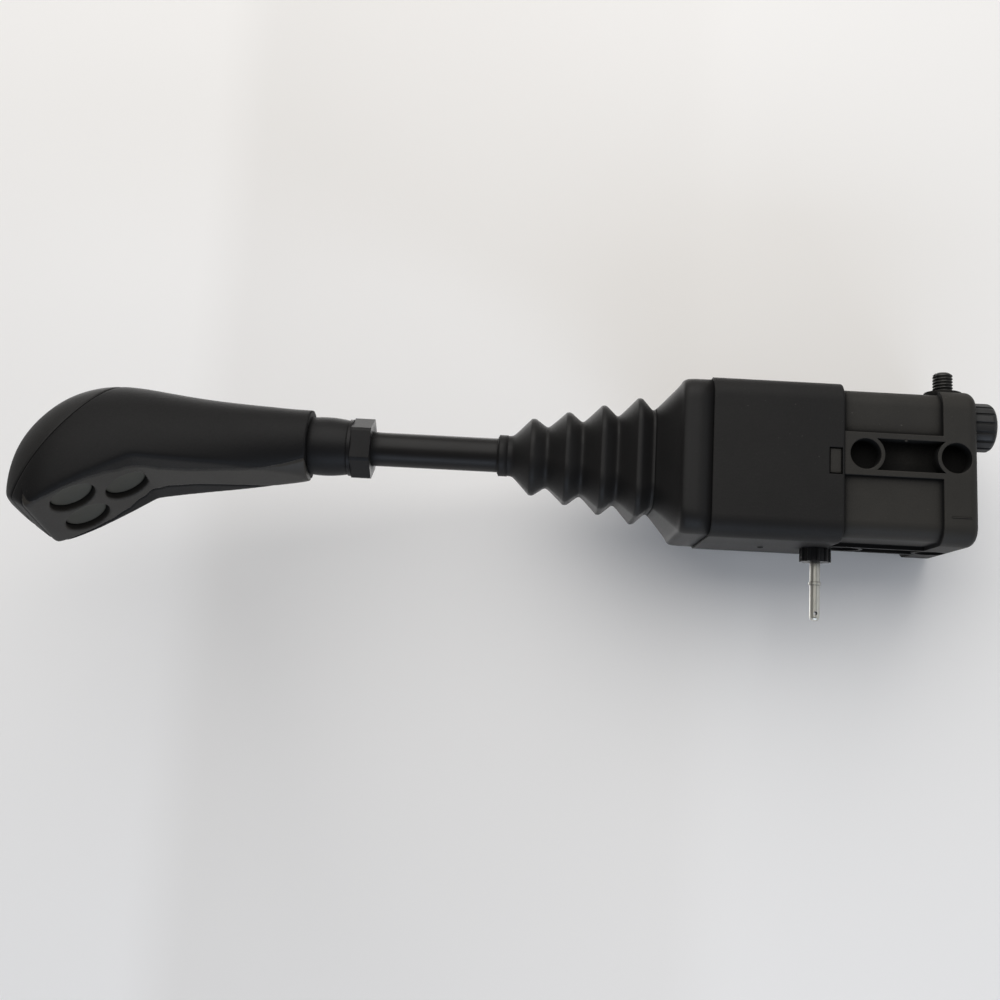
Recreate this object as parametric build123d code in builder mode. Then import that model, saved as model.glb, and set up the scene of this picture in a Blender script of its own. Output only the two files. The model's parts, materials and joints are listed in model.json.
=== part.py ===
from build123d import *
import math
import os

os.makedirs("parts", exist_ok=True)

# Two-axis pilot joystick valve. The lever's axis is Z, the base end face is at Z = 0 and the
# grip is at the top. Lengths are in millimetres and angles in degrees.

# Fits
slip_fit = 0.05  # radial clearance of a moving shaft in its hole
seat_fit = 0.15  # clearance of a moulded piece in its seat
skin = 0.02  # clearance between pieces that are pressed or screwed together

# Base housing
base_half = 31.0
panel_recess = 1.6
corner_radius = 8.0
end_fillet = 4.0
collar_height = 14.2
base_height = 53.0
spigot_height = 8.0
band_width = 17.0
side_bore_radius = 6.05
side_bore_low_depth = 7.2
side_bore_high_depth = 6.8
side_bore_offset = 3.0
side_bore_low = 9.0
side_bore_spacing = 35.7
pocket_width = 12.5
pocket_rim = 1.5
pocket_depth = 6.4

# Cover
cover_half = 31.75
cover_height = 51.3
cover_wall = 2.2
ledge_width = 1.3
ledge_depth = 6.3
lip_fillet = 0.8
window_width = 10.5
window_height = 5.2
window_rise = 0.9
window_shift = -0.5
tooth_proud = 1.8

# Valve block, its plate and the plunger columns
block_half = 22.0
block_chamfer = 2.0
block_height = 63.8
plate_thickness = 4.0
plunger_circle = 15.5
chamber_radius = 5.0
chamber_floor = 26.0  # height of the spring chamber's floor above the block's underside
spool_radius = 3.95
spool_length = 15.5
spool_drop = 0.5  # how far the spool's land stays below the chamber's floor at rest
stem_radius = 2.75
plunger_radius = 3.5
seat_radius = 4.8
seat_thickness = 4.0
seat_top = 12.0  # depth of the plunger's seat below the block's top
guide_neck_radius = 4.5
guide_depth = 6.0
guide_rise = 3.0
spring_wire = 1.5
port_radius = 4.3
tank_port_radius = 5.9
tank_port_depth = 11.0
tank_port_place = 17.0
plate_screw_place = 17.5
plate_screw_radius = 2.5
plate_screw_length = 16.0
plate_screw_head_radius = 4.2
plate_screw_head_height = 4.6
plate_screw_hex = 4.0

# Inlet fitting and its slotted clamping screw
fitting_x = 18.5
fitting_y = -17.0
fitting_head_radius = 9.8
fitting_head_height = 9.6
fitting_spigot_radius = 6.0
fitting_spigot_length = 11.5
fitting_bore_radius = 3.2
fitting_groove_width = 2.0
seal_wire = 1.0
clamp_screw_radius = 4.0
clamp_screw_height = 9.7
clamp_screw_proud = 9.2
clamp_screw_slot = 1.2
clamp_screw_slot_depth = 2.4
clamp_boss_radius = 7.5
clamp_boss_height = 0.8

# Gimbal
pivot_height = 92.0
ear_inner = 6.0
ear_outer = 9.5
ear_radius = 4.0
journal_radius = 2.5
cross_half = 5.8
cross_thickness = 7.0
yoke_flange_radius = 9.5
yoke_flange_thickness = 2.5
yoke_stud_radius = 4.0
yoke_stud_length = 16.0
crown_underside = 6.5  # above the pivot
disc_underside = 8.5  # above the pivot
disc_radius = 20.0
disc_thickness = 4.0
plunger_gap = 0.4
disc_stud_radius = 5.0
disc_stud_length = 17.5
disc_nut_flats = 17.0
disc_nut_height = 6.0

# Lever
rod_radius = 7.0
rod_socket_depth = 12.0
rod_grip_depth = 19.0  # how far the rod reaches into the grip
rod_bare_length = 51.2  # between the boot and the lock nut
lock_nut_flats = 22.0
lock_nut_height = 8.0
washer_radius = 11.6
washer_thickness = 1.4
sleeve_base_radius = 11.0
sleeve_waist_radius = 12.0
sleeve_top_radius = 11.6
sleeve_length = 15.8
sleeve_spigot_radius = 9.5
sleeve_spigot_length = 22.0

# Boot and the frame that its skirt grips
boot_wall = 1.6
skirt_half = 31.0
skirt_height = 10.5
shoulder_height = 2.0
shoulder_set_in = 1.2
fold_pitch = 14.1
fold_count = 4
first_peak_rise = 27.7  # above the cover
peak_half = 24.05
peak_taper = 2.8
valley_half = 19.8
valley_taper = 2.5
peak_flat = 1.6
valley_flat = 1.2
valley_drop = 5.7
boot_collar_radius = 8.25
boot_neck_rise = 9.4  # from the last peak to the collar
boot_collar_height = 4.9
frame_rise = 7.0
frame_opening_half = 23.5

# Cover retaining pin, pulled out of the left side
pin_radius = 2.05
pin_rise = 4.2  # above the base housing
pin_tip = 61.0
pin_seat = 23.5
pin_eye_radius = 0.8
pin_eye_inset = 3.0
pin_ring_radius = 2.5
pin_ring_place = 46.0
hub_radius = 5.6
hub_height = 5.5
hub_ridges = 10
hub_ridge_radius = 0.8

# Grip
grip_turn = 16.0
grip_wall = 2.5
face_slope = 32.8
beak_slope = 31.0
beak_x = -41.2
beak_rise = 100.0  # above the grip's lower end
face_share = 0.4235  # of the beak's rise
cap_slope = 29.0
cap_parting_x = 20.6
cap_parting_share = 0.772  # of the beak's rise
button_radius = 8.4
button_hole_radius = 8.75
button_depth = 2.6
button_thickness = 4.0
button_rim = 1.2
button_dish = 0.8
button_dish_slope = 20
button_spacing = 19.0
upper_row_share = 0.37  # of the face's length
lower_row_share = 0.83
barrel_radius = 10.0
barrel_depth = 10.0
button_stem_radius = 3.0
button_stem_length = 4.4
switch_flange_radius = 9.2
switch_flange_thickness = 1.5
switch_radius = 6.5
switch_length = 10.0
switch_well_depth = 3.5
switch_plate_thickness = 2.0
switch_plate_width = 35.0
switch_plate_length = 35.0
switch_plate_corner = 3.0

# Height as a share of the beak's rise, then front, back and half width, of the grip's oval sections.
# The head's front stands past its two flat faces, which trim it.
grip_sections = (
    (0.0, -14.5, 14.5, 14.5),
    (0.15, -18.0, 15.0, 15.6),
    (0.3, -23.0, 15.8, 17.0),
    (0.45, -29.0, 17.0, 18.8),
    (0.6, -36.5, 18.8, 21.4),
    (0.745, -46.5, 20.3, 24.0),
    (0.865, -54.0, 19.2, 25.0),
    (0.965, -56.0, 15.0, 24.2),
    (1.04, -51.5, 8.8, 21.0),
    (1.1, -44.5, 0.8, 16.4),
    (1.134, -37.5, -7.4, 11.0),
    (1.156, -31.0, -16.5, 5.5),
)

# Front of the neck, and where the rear and front mouldings meet, seen from the side: X, then the
# height as a share of the beak's rise
neck_front = ((-14.8, -0.03), (-16.0, 0.27))
grip_seam = ((-11.9, -0.03), (-12.9, 0.2), (-14.0, 0.42), (-15.6, 0.6), (-21.4, 0.741), (-32.2, 0.909))
seam_top = (-37.2, 1.03)

# Levels that follow from the sizes above
cover_top = base_height + cover_height
cover_inner_half = cover_half - cover_wall
panel_half = base_half - panel_recess
block_base = collar_height
block_top = block_base + block_height
plate_top = block_top + plate_thickness
chamber_bottom = block_base + chamber_floor
disc_bottom = pivot_height + disc_underside
disc_top = disc_bottom + disc_thickness
disc_nut_top = disc_top + disc_nut_height
plunger_tip = disc_bottom - plunger_gap
plunger_seat_top = block_top - seat_top
plunger_seat_bottom = plunger_seat_top - seat_thickness
first_peak = cover_top + first_peak_rise
boot_collar_base = first_peak + (fold_count - 1) * fold_pitch + boot_neck_rise
boot_collar_top = boot_collar_base + boot_collar_height
lock_nut_base = boot_collar_top + rod_bare_length
lock_nut_top = lock_nut_base + lock_nut_height
washer_top = lock_nut_top + washer_thickness
sleeve_top = washer_top + sleeve_length
grip_base = sleeve_top
rod_top = grip_base + rod_grip_depth
beak_height = grip_base + beak_rise
face_length = face_share * beak_rise
button_upper_row = upper_row_share * face_length
button_lower_row = lower_row_share * face_length
pin_height = base_height + pin_rise


def write(builder, name):
    builder.part.label = name
    export_step(builder.part, f"parts/{name}.step")


# The four sides of the base, each with its bore line offset towards the +X +Y corner
side_planes = (
    Plane(origin=(side_bore_offset, -base_half, 0), x_dir=(1, 0, 0), z_dir=(0, -1, 0)),
    Plane(origin=(side_bore_offset, base_half, 0), x_dir=(-1, 0, 0), z_dir=(0, 1, 0)),
    Plane(origin=(-base_half, side_bore_offset, 0), x_dir=(0, -1, 0), z_dir=(-1, 0, 0)),
    Plane(origin=(base_half, side_bore_offset, 0), x_dir=(0, 1, 0), z_dir=(1, 0, 0)),
)
side_bore_high = side_bore_low + side_bore_spacing
side_bore_places = ((0, side_bore_low), (0, side_bore_high))
side_bore_depths = (side_bore_low_depth, side_bore_high_depth)
clamp_plane = Plane(origin=(base_half, fitting_y, clamp_screw_height), x_dir=(0, 1, 0), z_dir=(1, 0, 0))
pin_plane = Plane(origin=(0, 0, pin_height), x_dir=(0, -1, 0), z_dir=(-1, 0, 0))
left_plane = Plane(origin=(-cover_half, 0, pin_height), x_dir=(0, -1, 0), z_dir=(-1, 0, 0))
latch_planes = (
    Plane(origin=(window_shift, 0, base_height), x_dir=(1, 0, 0), z_dir=(0, -1, 0)),
    Plane(origin=(window_shift, 0, base_height), x_dir=(-1, 0, 0), z_dir=(0, 1, 0)),
)
window_middle = window_rise + window_height / 2
spigot_half = cover_inner_half - seat_fit

# Base housing: collar, four bands, recessed panels, a spigot for the cover and its two teeth
with BuildPart() as base_housing:
    with BuildSketch(Plane.XY):
        RectangleRounded(2 * base_half, 2 * base_half, corner_radius)
    extrude(amount=collar_height)
    fillet(base_housing.edges().group_by(Axis.Z)[0], radius=end_fillet)
    with BuildSketch(Plane.XY.offset(collar_height)):
        RectangleRounded(2 * panel_half, 2 * panel_half, corner_radius - panel_recess)
        with Locations((side_bore_offset, 0)):
            Rectangle(band_width, 2 * base_half)
        with Locations((0, side_bore_offset)):
            Rectangle(2 * base_half, band_width)
    extrude(amount=base_height - collar_height)
    with BuildSketch(Plane.XY.offset(base_height)):
        RectangleRounded(2 * spigot_half, 2 * spigot_half, corner_radius - cover_wall)
    extrude(amount=spigot_height)
    for latch_plane in latch_planes:
        with BuildSketch(latch_plane.offset(spigot_half - tooth_proud)):
            with Locations((0, window_middle)):
                Rectangle(window_width - 1, window_height - 1)
        extrude(amount=2 * tooth_proud)
    with BuildSketch(clamp_plane.offset(-panel_recess - 1)):
        Circle(clamp_boss_radius)
    extrude(amount=panel_recess + 1 + clamp_boss_height)
    for side_plane in side_planes:
        for bore_place, bore_depth in zip(side_bore_places, side_bore_depths):
            with BuildSketch(side_plane):
                with Locations(bore_place):
                    Circle(side_bore_radius)
            extrude(amount=-bore_depth, mode=Mode.SUBTRACT)
        with BuildSketch(side_plane):
            with Locations((0, side_bore_low + side_bore_spacing / 2)):
                Rectangle(pocket_width, side_bore_spacing)
            with Locations(*side_bore_places):
                Circle(side_bore_radius + pocket_rim, mode=Mode.SUBTRACT)
        extrude(amount=-pocket_depth, mode=Mode.SUBTRACT)
    with BuildSketch(Plane.XY.offset(block_base)):
        Rectangle(2 * (block_half + seat_fit), 2 * (block_half + seat_fit))
    extrude(amount=block_height, mode=Mode.SUBTRACT)
    with BuildSketch(Plane.XY):
        with PolarLocations(plunger_circle, 4):
            Circle(port_radius)
    extrude(amount=collar_height, mode=Mode.SUBTRACT)
    with BuildSketch(Plane.XY):
        with Locations((-tank_port_place, tank_port_place)):
            Circle(tank_port_radius)
    extrude(amount=tank_port_depth, mode=Mode.SUBTRACT)
    with BuildSketch(Plane.XY):
        with Locations((fitting_x, fitting_y)):
            Circle(fitting_spigot_radius + skin)
    extrude(amount=fitting_spigot_length + skin, mode=Mode.SUBTRACT)
    with BuildSketch(clamp_plane.offset(clamp_boss_height)):
        Circle(clamp_screw_radius + skin)
    extrude(amount=-(base_half + clamp_boss_height - fitting_x), mode=Mode.SUBTRACT)
    with BuildSketch(pin_plane.offset(pin_seat - 1)):
        Circle(pin_radius + slip_fit)
    extrude(amount=base_half, mode=Mode.SUBTRACT)
write(base_housing, "base_housing")

# Cover: a square sleeve with a ledge inside for the boot frame and a window for each tooth
with BuildPart() as cover:
    with BuildSketch(Plane.XY.offset(base_height)):
        RectangleRounded(2 * cover_half, 2 * cover_half, corner_radius)
    extrude(amount=cover_height)
    fillet(cover.edges().group_by(Axis.Z)[0], radius=lip_fillet)
    with BuildSketch(Plane.XY.offset(base_height)):
        RectangleRounded(2 * cover_inner_half, 2 * cover_inner_half, corner_radius - cover_wall)
    extrude(amount=spigot_height + seat_fit, mode=Mode.SUBTRACT)
    with BuildSketch(Plane.XY.offset(base_height)):
        ledge_half = cover_inner_half - ledge_width
        RectangleRounded(2 * ledge_half, 2 * ledge_half, corner_radius - cover_wall - ledge_width)
    extrude(amount=cover_height, mode=Mode.SUBTRACT)
    with BuildSketch(Plane.XY.offset(cover_top)):
        RectangleRounded(2 * cover_inner_half, 2 * cover_inner_half, corner_radius - cover_wall)
    extrude(amount=-ledge_depth, mode=Mode.SUBTRACT)
    for latch_plane in latch_planes:
        with BuildSketch(latch_plane.offset(cover_half - cover_wall - ledge_width)):
            with Locations((0, window_middle)):
                Rectangle(window_width, window_height)
        extrude(amount=2 * cover_wall + ledge_width, mode=Mode.SUBTRACT)
    with BuildSketch(pin_plane.offset(spigot_half)):
        Circle(pin_radius + slip_fit)
    extrude(amount=base_half, mode=Mode.SUBTRACT)
write(cover, "cover")

# Valve block: four spring chambers over four spool bores, and the gimbal's stud hole
with BuildPart() as valve_block:
    with BuildSketch(Plane.XY.offset(block_base)):
        Rectangle(2 * block_half, 2 * block_half)
    extrude(amount=block_height)
    chamfer(valve_block.edges().filter_by(Axis.Z), length=block_chamfer)
    with BuildSketch(Plane.XY.offset(block_base)):
        with PolarLocations(plunger_circle, 4):
            Circle(spool_radius + slip_fit)
    extrude(amount=block_height, mode=Mode.SUBTRACT)
    with BuildSketch(Plane.XY.offset(chamber_bottom)):
        with PolarLocations(plunger_circle, 4):
            Circle(chamber_radius)
    extrude(amount=block_height, mode=Mode.SUBTRACT)
    with BuildSketch(Plane.XY.offset(block_top)):
        Circle(yoke_stud_radius + skin)
        with GridLocations(2 * plate_screw_place, 2 * plate_screw_place, 2, 2):
            Circle(plate_screw_radius + skin)
    extrude(amount=-plate_screw_length, mode=Mode.SUBTRACT)
write(valve_block, "valve_block")

# Guide plate: holds the four plunger guides down and carries the gimbal
with BuildPart() as guide_plate:
    with BuildSketch(Plane.XY.offset(block_top)):
        Rectangle(2 * block_half, 2 * block_half)
        Circle(yoke_stud_radius + skin, mode=Mode.SUBTRACT)
        with PolarLocations(plunger_circle, 4):
            Circle(guide_neck_radius + skin, mode=Mode.SUBTRACT)
        with GridLocations(2 * plate_screw_place, 2 * plate_screw_place, 2, 2):
            Circle(plate_screw_radius + skin, mode=Mode.SUBTRACT)
    extrude(amount=plate_thickness)
    chamfer(guide_plate.edges().filter_by(Axis.Z).group_by(SortBy.LENGTH)[-1].filter_by(
        lambda edge: abs(abs(edge.center().X) - block_half) < 0.01), length=block_chamfer)
write(guide_plate, "guide_plate")

with BuildPart() as plate_screws:
    with BuildSketch(Plane.XY.offset(plate_top)):
        with GridLocations(2 * plate_screw_place, 2 * plate_screw_place, 2, 2):
            Circle(plate_screw_radius)
    extrude(amount=-(plate_screw_length + plate_thickness - 1))
    with BuildSketch(Plane.XY.offset(plate_top)):
        with GridLocations(2 * plate_screw_place, 2 * plate_screw_place, 2, 2):
            Circle(plate_screw_head_radius)
    extrude(amount=plate_screw_head_height)
    with BuildSketch(Plane.XY.offset(plate_top + plate_screw_head_height)):
        with GridLocations(2 * plate_screw_place, 2 * plate_screw_place, 2, 2):
            RegularPolygon(plate_screw_hex / 2, 6, major_radius=False)
    extrude(amount=-plate_screw_head_height / 2, mode=Mode.SUBTRACT)
write(plate_screws, "plate_screws")

# The four plunger columns: plunger, spool, return spring and guide
columns = {
    "right": (plunger_circle, 0),
    "left": (-plunger_circle, 0),
    "front": (0, -plunger_circle),
    "rear": (0, plunger_circle),
}
for side, place in columns.items():
    with BuildPart() as plunger:
        with BuildSketch(Plane.XY.offset(plunger_seat_bottom)):
            with Locations(place):
                Circle(seat_radius)
        extrude(amount=seat_thickness)
        with BuildSketch(Plane.XY.offset(plunger_seat_top)):
            with Locations(place):
                Circle(plunger_radius)
        extrude(amount=plunger_tip - plunger_seat_top)
        fillet(plunger.edges().group_by(Axis.Z)[-1], radius=plunger_radius - 0.3)
    write(plunger, f"plunger_{side}")

    with BuildPart() as spool:
        with BuildSketch(Plane.XY.offset(chamber_bottom - spool_drop)):
            with Locations(place):
                Circle(spool_radius)
        extrude(amount=-spool_length)
        with BuildSketch(Plane.XY.offset(chamber_bottom - spool_drop)):
            with Locations(place):
                Circle(stem_radius)
        extrude(amount=plunger_seat_bottom - chamber_bottom + spool_drop)
        with BuildSketch(Plane.XY.offset(chamber_bottom - spool_drop - spool_length / 2)):
            with Locations(place):
                Circle(spool_radius)
                Circle(stem_radius, mode=Mode.SUBTRACT)
        extrude(amount=spool_length / 8, both=True, mode=Mode.SUBTRACT)
    write(spool, f"spool_{side}")

    with BuildPart() as spring:
        with BuildSketch(Plane.XY.offset(chamber_bottom)):
            with Locations(place):
                Circle(seat_radius)
                Circle(seat_radius - spring_wire, mode=Mode.SUBTRACT)
        extrude(amount=plunger_seat_bottom - chamber_bottom)
    write(spring, f"return_spring_{side}")

    with BuildPart() as guide:
        with BuildSketch(Plane.XY.offset(block_top)):
            with Locations(place):
                Circle(chamber_radius - skin)
        extrude(amount=-guide_depth)
        with BuildSketch(Plane.XY.offset(block_top)):
            with Locations(place):
                Circle(guide_neck_radius)
        extrude(amount=plate_thickness + guide_rise)
        chamfer(guide.edges().group_by(Axis.Z)[-1], length=0.6)
        with BuildSketch(Plane.XY.offset(block_top - guide_depth)):
            with Locations(place):
                Circle(plunger_radius + slip_fit)
        extrude(amount=guide_depth + plate_thickness + guide_rise, mode=Mode.SUBTRACT)
    write(guide, f"plunger_guide_{side}")

# Inlet fitting: a ribbed head with a screwdriver slot, on a spigot with a seal groove
fitting_groove_level = fitting_spigot_length / 2
with BuildPart() as inlet_fitting:
    with BuildSketch(Plane.XY):
        with Locations((fitting_x, fitting_y)):
            Circle(fitting_head_radius)
    extrude(amount=-fitting_head_height)
    fillet(inlet_fitting.edges().group_by(Axis.Z)[0], radius=2.5)
    with BuildSketch(Plane.XY):
        with Locations((fitting_x, fitting_y)):
            with PolarLocations(fitting_head_radius, 16):
                Circle(0.6)
    extrude(amount=-fitting_head_height, mode=Mode.SUBTRACT)
    with BuildSketch(Plane.XY.offset(-fitting_head_height)):
        with Locations((fitting_x, fitting_y)):
            Rectangle(2 * fitting_head_radius, fitting_groove_width)
    extrude(amount=fitting_head_height / 4, mode=Mode.SUBTRACT)
    with BuildSketch(Plane.XY):
        with Locations((fitting_x, fitting_y)):
            Circle(fitting_spigot_radius)
    extrude(amount=fitting_spigot_length)
    with BuildSketch(Plane.XY.offset(fitting_groove_level - fitting_groove_width)):
        with Locations((fitting_x, fitting_y)):
            Circle(fitting_spigot_radius)
            Circle(fitting_spigot_radius - seal_wire, mode=Mode.SUBTRACT)
    extrude(amount=fitting_groove_width, mode=Mode.SUBTRACT)
    with BuildSketch(Plane.XY.offset(-fitting_head_height)):
        with Locations((fitting_x, fitting_y)):
            Circle(fitting_bore_radius)
    extrude(amount=fitting_head_height + fitting_spigot_length, mode=Mode.SUBTRACT)
write(inlet_fitting, "inlet_fitting")

with BuildPart() as fitting_seal:
    with BuildSketch(Plane.XY.offset(fitting_groove_level - fitting_groove_width)):
        with Locations((fitting_x, fitting_y)):
            Circle(fitting_spigot_radius)
            Circle(fitting_spigot_radius - seal_wire + skin, mode=Mode.SUBTRACT)
    extrude(amount=fitting_groove_width)
write(fitting_seal, "fitting_seal")

# Slotted screw that clamps the fitting's spigot from the right side
with BuildPart() as clamp_screw:
    with BuildSketch(clamp_plane.offset(clamp_screw_proud)):
        Circle(clamp_screw_radius)
    extrude(amount=-(clamp_screw_proud + base_half - fitting_x - fitting_spigot_radius - skin))
    chamfer(clamp_screw.edges().group_by(Axis.X)[-1], length=0.6)
    with BuildSketch(clamp_plane.offset(clamp_screw_proud)):
        Rectangle(2 * clamp_screw_radius, clamp_screw_slot)
    extrude(amount=-clamp_screw_slot_depth, mode=Mode.SUBTRACT)
write(clamp_screw, "clamp_screw")

# Gimbal: a lower yoke with ears along X, a cross, and an upper yoke with ears along Y
with BuildPart() as lower_yoke:
    with BuildSketch(Plane.XY.offset(plate_top)):
        Circle(yoke_flange_radius)
    extrude(amount=yoke_flange_thickness)
    with BuildSketch(Plane.XY.offset(plate_top)):
        Circle(yoke_stud_radius)
    extrude(amount=-yoke_stud_length)
    ear_plane = Plane(origin=(0, 0, pivot_height), x_dir=(0, 1, 0), z_dir=(1, 0, 0))
    ear_foot = pivot_height - plate_top
    for ear_start in (ear_inner, -ear_outer):
        with BuildSketch(ear_plane.offset(ear_start)):
            Circle(ear_radius)
            with Locations((0, -ear_foot / 2)):
                Rectangle(2 * ear_radius, ear_foot)
            Circle(journal_radius + slip_fit, mode=Mode.SUBTRACT)
        extrude(amount=ear_outer - ear_inner)
write(lower_yoke, "lower_yoke")

with BuildPart() as gimbal_cross:
    with BuildSketch(Plane.XY.offset(pivot_height)):
        Rectangle(2 * cross_half, 2 * cross_half)
    extrude(amount=cross_thickness / 2, both=True)
    chamfer(gimbal_cross.edges().filter_by(Axis.Z), length=1.0)
    for journal_normal in ((1, 0, 0), (0, 1, 0)):
        with BuildSketch(Plane(origin=(0, 0, pivot_height), z_dir=journal_normal)):
            Circle(journal_radius)
        extrude(amount=ear_outer, both=True)
write(gimbal_cross, "gimbal_cross")

with BuildPart() as upper_yoke:
    with BuildSketch(Plane.XY.offset(pivot_height + crown_underside)):
        Rectangle(2 * ear_radius, 2 * ear_outer)
    extrude(amount=disc_underside - crown_underside)
    ear_plane = Plane(origin=(0, 0, pivot_height), x_dir=(-1, 0, 0), z_dir=(0, 1, 0))
    for ear_start in (ear_inner, -ear_outer):
        with BuildSketch(ear_plane.offset(ear_start)):
            Circle(ear_radius)
            with Locations((0, crown_underside / 2)):
                Rectangle(2 * ear_radius, crown_underside)
            Circle(journal_radius + slip_fit, mode=Mode.SUBTRACT)
        extrude(amount=ear_outer - ear_inner)
    with BuildSketch(Plane.XY.offset(disc_bottom)):
        Circle(disc_stud_radius)
    extrude(amount=disc_stud_length)
write(upper_yoke, "upper_yoke")

with BuildPart() as actuating_disc:
    with BuildSketch(Plane.XY.offset(disc_bottom)):
        Circle(disc_radius)
        Circle(disc_stud_radius + skin, mode=Mode.SUBTRACT)
    extrude(amount=disc_thickness)
    chamfer(actuating_disc.edges().group_by(Axis.Z)[-1].sort_by(SortBy.LENGTH)[-1], length=1.0)
write(actuating_disc, "actuating_disc")

with BuildPart() as disc_nut:
    with BuildSketch(Plane.XY.offset(disc_top)):
        RegularPolygon(disc_nut_flats / 2, 6, major_radius=False)
        Circle(disc_stud_radius + skin, mode=Mode.SUBTRACT)
    extrude(amount=disc_nut_height)
write(disc_nut, "disc_nut")

# Lever rod, screwed over the yoke's stud, and what clamps the grip to it
with BuildPart() as lever_rod:
    with BuildSketch(Plane.XY.offset(disc_nut_top)):
        Circle(rod_radius)
    extrude(amount=rod_top - disc_nut_top)
    chamfer(lever_rod.edges().group_by(Axis.Z)[-1], length=1.0)
    with BuildSketch(Plane.XY.offset(disc_nut_top)):
        Circle(disc_stud_radius + skin)
    extrude(amount=rod_socket_depth, mode=Mode.SUBTRACT)
write(lever_rod, "lever_rod")

with BuildPart() as lock_nut:
    with BuildSketch(Plane.XY.offset(lock_nut_base)):
        RegularPolygon(lock_nut_flats / 2, 6, major_radius=False)
    extrude(amount=lock_nut_height)
    with BuildSketch(Plane.XY.offset(lock_nut_base)):
        Circle(lock_nut_flats / math.sqrt(3) - 0.4)
    extrude(amount=lock_nut_height, mode=Mode.INTERSECT)
    with BuildSketch(Plane.XY.offset(lock_nut_base)):
        Circle(rod_radius + skin)
    extrude(amount=lock_nut_height, mode=Mode.SUBTRACT)
write(lock_nut, "lock_nut")

with BuildPart() as washer:
    with BuildSketch(Plane.XY.offset(lock_nut_top)):
        Circle(washer_radius)
        Circle(rod_radius + skin, mode=Mode.SUBTRACT)
    extrude(amount=washer_thickness)
write(washer, "washer")

with BuildPart() as grip_sleeve:
    with BuildSketch(Plane.XZ):
        with BuildLine():
            Polyline(
                (rod_radius + skin, washer_top),
                (sleeve_base_radius, washer_top),
            )
            ThreePointArc(
                (sleeve_base_radius, washer_top),
                (sleeve_waist_radius, washer_top + sleeve_length / 2),
                (sleeve_top_radius, sleeve_top),
            )
            Polyline(
                (sleeve_top_radius, sleeve_top),
                (sleeve_spigot_radius, sleeve_top),
                (sleeve_spigot_radius, sleeve_top + sleeve_spigot_length),
                (rod_radius + skin, sleeve_top + sleeve_spigot_length),
                (rod_radius + skin, washer_top),
            )
        make_face()
    revolve(axis=Axis.Z)
write(grip_sleeve, "grip_sleeve")

# Boot: a square rubber gaiter of four folds between its skirt and its collar
fold_levels = []
for fold in range(fold_count):
    peak_level = first_peak + fold * fold_pitch
    peak = peak_half - fold * peak_taper
    valley = valley_half - fold * valley_taper
    fold_levels.append((peak_level - valley_drop - valley_flat / 2, valley))
    fold_levels.append((peak_level - valley_drop + valley_flat / 2, valley))
    fold_levels.append((peak_level - peak_flat / 2, peak))
    fold_levels.append((peak_level + peak_flat / 2, peak))
skirt_top = cover_top + skirt_height
boot_levels = [
    (cover_top, skirt_half),
    (skirt_top, skirt_half),
    (skirt_top + shoulder_height, skirt_half - shoulder_set_in),
    *fold_levels,
    (boot_collar_base, boot_collar_radius),
]


def boot_form(inset):
    with BuildPart() as form:
        for level, half in boot_levels:
            # The corners go from the housing's radius to the collar's full round.
            share = (level - cover_top) / (boot_collar_base - cover_top)
            squareness = corner_radius / skirt_half * (1 - share) + 0.97 * share**3
            side = half - inset
            with BuildSketch(Plane.XY.offset(level)):
                RectangleRounded(2 * side, 2 * side, side * min(0.97, squareness))
        loft(ruled=True)
    return form.part


boot_outside = boot_form(0)
boot_inside = boot_form(boot_wall)
with BuildPart() as boot:
    add(boot_outside)
    with BuildSketch(Plane.XY.offset(boot_collar_base - 1)):
        Circle(boot_collar_radius)
    extrude(amount=boot_collar_height + 1)
    add(boot_inside, mode=Mode.SUBTRACT)
    with BuildSketch(Plane.XY.offset(boot_collar_base - 3)):
        Circle(rod_radius + seat_fit)
    extrude(amount=boot_collar_height + 3, mode=Mode.SUBTRACT)
write(boot, "boot")

frame_half = min(cover_inner_half, skirt_half - boot_wall) - seat_fit
with BuildPart() as boot_frame:
    with BuildSketch(Plane.XY.offset(cover_top - ledge_depth)):
        RectangleRounded(2 * frame_half, 2 * frame_half, corner_radius - seat_fit)
        RectangleRounded(2 * frame_opening_half, 2 * frame_opening_half, 4, mode=Mode.SUBTRACT)
    extrude(amount=ledge_depth + frame_rise)
write(boot_frame, "boot_frame")

# Retaining pin of the cover and the ridged hub that it slides in
with BuildPart() as pin_hub:
    with BuildSketch(left_plane):
        Circle(hub_radius)
        with PolarLocations(hub_radius, hub_ridges):
            Circle(hub_ridge_radius)
        Circle(pin_radius + slip_fit, mode=Mode.SUBTRACT)
    extrude(amount=hub_height)
write(pin_hub, "pin_hub")

with BuildPart() as retaining_pin:
    with BuildSketch(pin_plane.offset(pin_seat)):
        Circle(pin_radius)
    extrude(amount=pin_tip - pin_seat)
    fillet(retaining_pin.edges().group_by(Axis.X)[0], radius=pin_radius * 0.8)
    with BuildSketch(pin_plane.offset(pin_ring_place)):
        Circle(pin_ring_radius)
    extrude(amount=0.5, both=True)
    with BuildSketch(Plane.XZ):
        with Locations((-(pin_tip - pin_eye_inset), pin_height)):
            Circle(pin_eye_radius)
    extrude(amount=2 * pin_radius, both=True, mode=Mode.SUBTRACT)
write(retaining_pin, "retaining_pin")

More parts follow.
